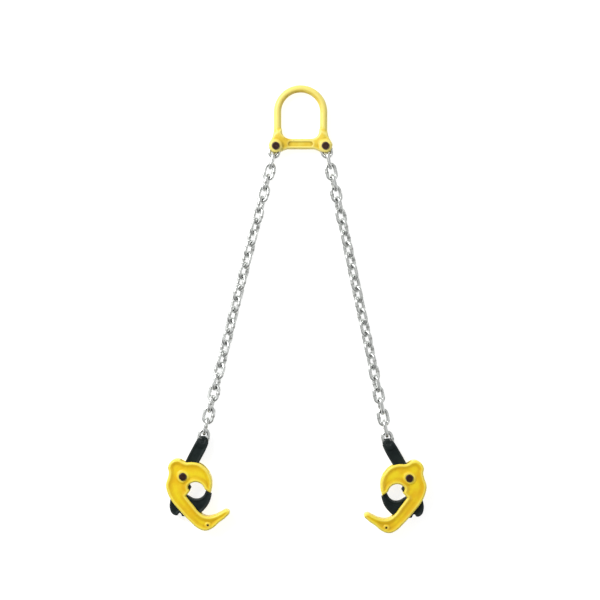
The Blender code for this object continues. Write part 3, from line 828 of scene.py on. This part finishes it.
def turned_mesh(name, profile):
    """A turned piece about Z from (radius, height, sharpness), the first and last points on its axis."""
    around = 48
    points, faces, edge = [], [], []
    for radius, height, sharp in profile:
        for k in range(around):
            a = 2 * math.pi * k / around
            points.append((radius * math.cos(a), radius * math.sin(a), height))
            edge.append(sharp)
    for i in range(len(profile) - 1):
        for k in range(around):
            m = (k + 1) % around
            faces.append((i * around + k, i * around + m, (i + 1) * around + m, (i + 1) * around + k))
    mesh = machined_mesh(name, points, faces, edge)
    shape = bmesh.new()
    shape.from_mesh(mesh)
    bmesh.ops.remove_doubles(shape, verts=shape.verts, dist=1e-7)
    bmesh.ops.recalc_face_normals(shape, faces=shape.faces)
    shape.to_mesh(mesh)
    shape.free()
    return smoothed(mesh)


def headed_pin_mesh(name, shaft, half, head):
    """A pin whose head stands on the piece; its far end is riveted over in a countersink."""
    top = half + 0.3
    riveted_end = [
        (0.0, -half + 0.55, 0.0), (0.7, -half + 0.55, 0.1), (1.1, -half + 0.25, 0.5),
        (shaft + 0.35, -half + 0.25, 0.6), (shaft + 0.6, -half + 0.5, 0.9), (shaft + 0.1, -half + 1.5, 0.2),
    ]
    shank = [(shaft - 0.05, -half + 2.0, 0.0), (shaft - 0.05, top, 0.0)]
    crown = [
        (head - 0.15, top, 0.2), (head, top + 0.15, 0.8), (head, top + 1.2, 0.6),
        (head - 0.25, top + 1.55, 0.9), (head - 0.9, top + 1.9, 0.6), (head - 2.1, top + 1.97, 0.1),
        (1.5, top + 1.97, 0.1), (1.1, top + 1.9, 0.4), (0.0, top + 1.35, 0.0),
    ]
    return turned_mesh(name, riveted_end + shank + crown)


def cross_pin_mesh():
    """The plain pin through the lever's fork, dressed flush at both ends."""
    low, radius = -CROSS_PIN_HALF, CROSS_PIN_RADIUS
    end = [
        (0.0, low + 0.3, 0.0), (0.8, low + 0.2, 0.2), (1.2, low, 0.4),
        (radius - 0.5, low, 0.5), (radius, low + 0.5, 0.8),
    ]
    return turned_mesh("cross_pin", end + [(r, -h, s) for r, h, s in reversed(end)])


def roll_pin_mesh():
    """A rolled spring pin: a tube with a slit along it."""
    outer, inner, half, around = 1.6, 1.0, CLAW_HALF - 0.5, 40
    gap = math.radians(24)
    points, faces, edge = [], [], []
    loop = [
        (outer, -half + 0.25), (outer, half - 0.25), (outer - 0.2, half),
        (inner, half), (inner, -half), (outer - 0.2, -half),
    ]
    for k in range(around + 1):
        a = gap / 2 + (2 * math.pi - gap) * k / around
        for radius, height in loop:
            points.append((radius * math.cos(a), radius * math.sin(a), height))
            edge.append(0.5)
    n = len(loop)
    for k in range(around):
        here, there = k * n, (k + 1) * n
        for i in range(n):
            m = (i + 1) % n
            faces.append((here + i, there + i, there + m, here + m))
    caps = [tuple(range(n)), tuple(around * n + i for i in reversed(range(n)))]
    return smoothed(machined_mesh("roll_pin", points, faces + caps, edge))


# ---------------------------------------------------------------- assembly

def lights_and_camera():
    """A soft sky, two lamps and a camera that frames the sling as the photograph does."""
    scene = bpy.context.scene
    scene.view_settings.view_transform = "Standard"
    world = bpy.data.worlds.new("studio")
    scene.world = world
    world.use_nodes = True
    tree = world.node_tree
    way = node(tree, "SeparateXYZ", {"Vector": node(tree, "TexCoord").outputs["Generated"]})
    shade = spread(tree, way.outputs["Z"], 0.0, 0.75, 0.16, 1.0)
    shade = maths(tree, "MULTIPLY", shade, spread(tree, way.outputs["Y"], -0.7, 0.3, 0.35, 1.0))
    sky = blend(tree, shade, (0.0, 0.0, 0.0), (1.0, 1.0, 1.0))
    feed(tree, tree.nodes["Background"].inputs["Color"], sky)
    tree.nodes["Background"].inputs["Strength"].default_value = SKY_STRENGTH
    for name, place, size, power in LAMPS:
        lamp = bpy.data.lights.new(name, "AREA")
        lamp.shape = "DISK"
        lamp.size = size
        lamp.energy = power
        holder = bpy.data.objects.new(name, lamp)
        scene.collection.objects.link(holder)
        holder.location = place
        holder.rotation_mode = "QUATERNION"
        holder.rotation_quaternion = (-Vector(place)).to_track_quat("-Z", "Y")
    camera = bpy.data.cameras.new("camera")
    camera.sensor_width = 36.0
    camera.lens = camera.sensor_width * CAMERA_DISTANCE / FRAME_WIDTH
    camera.clip_end = 50
    eye = bpy.data.objects.new("camera", camera)
    scene.collection.objects.link(eye)
    seat_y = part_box("master_link")[1].y - 2 * RING_WIRE_RADIUS * MM
    seat_x = (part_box("left_load_pin")[0].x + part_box("right_load_pin")[1].x) / 2
    right, up = VIEW_FROM_SEAT
    eye.location = (seat_x + right, seat_y + up, CAMERA_DISTANCE + FRAME_LEVEL)
    scene.camera = eye


def add_floor():
    """A pale floor just under the CAD, which the pieces lie on."""
    mesh = bpy.data.meshes.new("floor")
    half = FLOOR_HALF
    corners = [(-half, -half, 0), (half, -half, 0), (half, half, 0), (-half, half, 0)]
    mesh.from_pydata(corners, [], [(0, 1, 2, 3)])
    mesh.materials.append(floor_material())
    floor = bpy.data.objects.new("floor", mesh)
    bpy.context.scene.collection.objects.link(floor)
    floor.location.z = CAD_LOW.z - 0.0001


def main():
    ring_paint = paint_material("ring_paint", *RING_YELLOW)
    claw_paint = paint_material("yellow_paint", *CLAW_YELLOW)
    black, zinc, dark = lever_material(), zinc_material(), pin_material()
    left_pin = Vector(JOINTS["left_leg_swing"]["pos_m"])
    right_pin = Vector(JOINTS["right_leg_swing"]["pos_m"])
    middle = (left_pin + right_pin) / 2
    seat = Matrix.Translation((middle.x, middle.y - LOAD_PIN_Y * MM, middle.z))
    ring = master_link_mesh()
    add_piece("forged_master_link", ring, seat, "master_link", ring_paint, ["master_link"])
    load_pin = headed_pin_mesh("load_pin", LOAD_SHAFT_RADIUS, EAR_HALF_THICKNESS, PIN_HEAD_RADIUS)
    pivot_pin = headed_pin_mesh("pivot_pin", PIVOT_SHAFT_RADIUS, CLAW_HALF, PIN_HEAD_RADIUS)
    cross_pin, roll_pin, link = cross_pin_mesh(), roll_pin_mesh(), link_mesh()
    claws, levers = claw_meshes(), lever_meshes()
    for leg, side in SIDE.items():
        claw_body, lever_body = f"{leg}_claw_body", f"{leg}_cam_lever"
        load_node, pivot_node = f"{leg}_load_pin", f"{leg}_pivot_pin"
        claw, lever = (claws[0], levers[0]) if side < 0 else (claws[1], levers[1])
        at_pin = Matrix.Translation(JOINTS[f"{leg}_leg_swing"]["pos_m"])
        lean = Matrix.Rotation(math.radians(LEAN_DEG[leg]), 4, "Z")
        at_pivot = Matrix.Translation(JOINTS[f"{leg}_jaw_open"]["pos_m"]) @ lean
        at_cross = Matrix.Translation(JOINTS[f"{leg}_lever_swing"]["pos_m"])
        at_toe = at_pivot @ Matrix.Translation((-side * TOE_HOLE[0] * MM, TOE_HOLE[1] * MM, 0))
        add_piece(f"{leg}_turned_load_pin", load_pin, at_pin, "master_link", dark, [load_node])
        add_leg(leg, link, zinc)
        add_piece(f"{leg}_forged_lever", lever, at_pivot, lever_body, black, [lever_body])
        add_piece(f"{leg}_cross_pin", cross_pin, at_cross, lever_body, black)
        add_piece(f"{leg}_cast_claw", claw, at_pivot, claw_body, claw_paint, [claw_body])
        add_piece(f"{leg}_turned_pivot_pin", pivot_pin, at_pivot, claw_body, dark, [pivot_node])
        add_piece(f"{leg}_foot_roll_pin", roll_pin, at_toe, claw_body, dark)
    add_floor()
    lights_and_camera()


main()
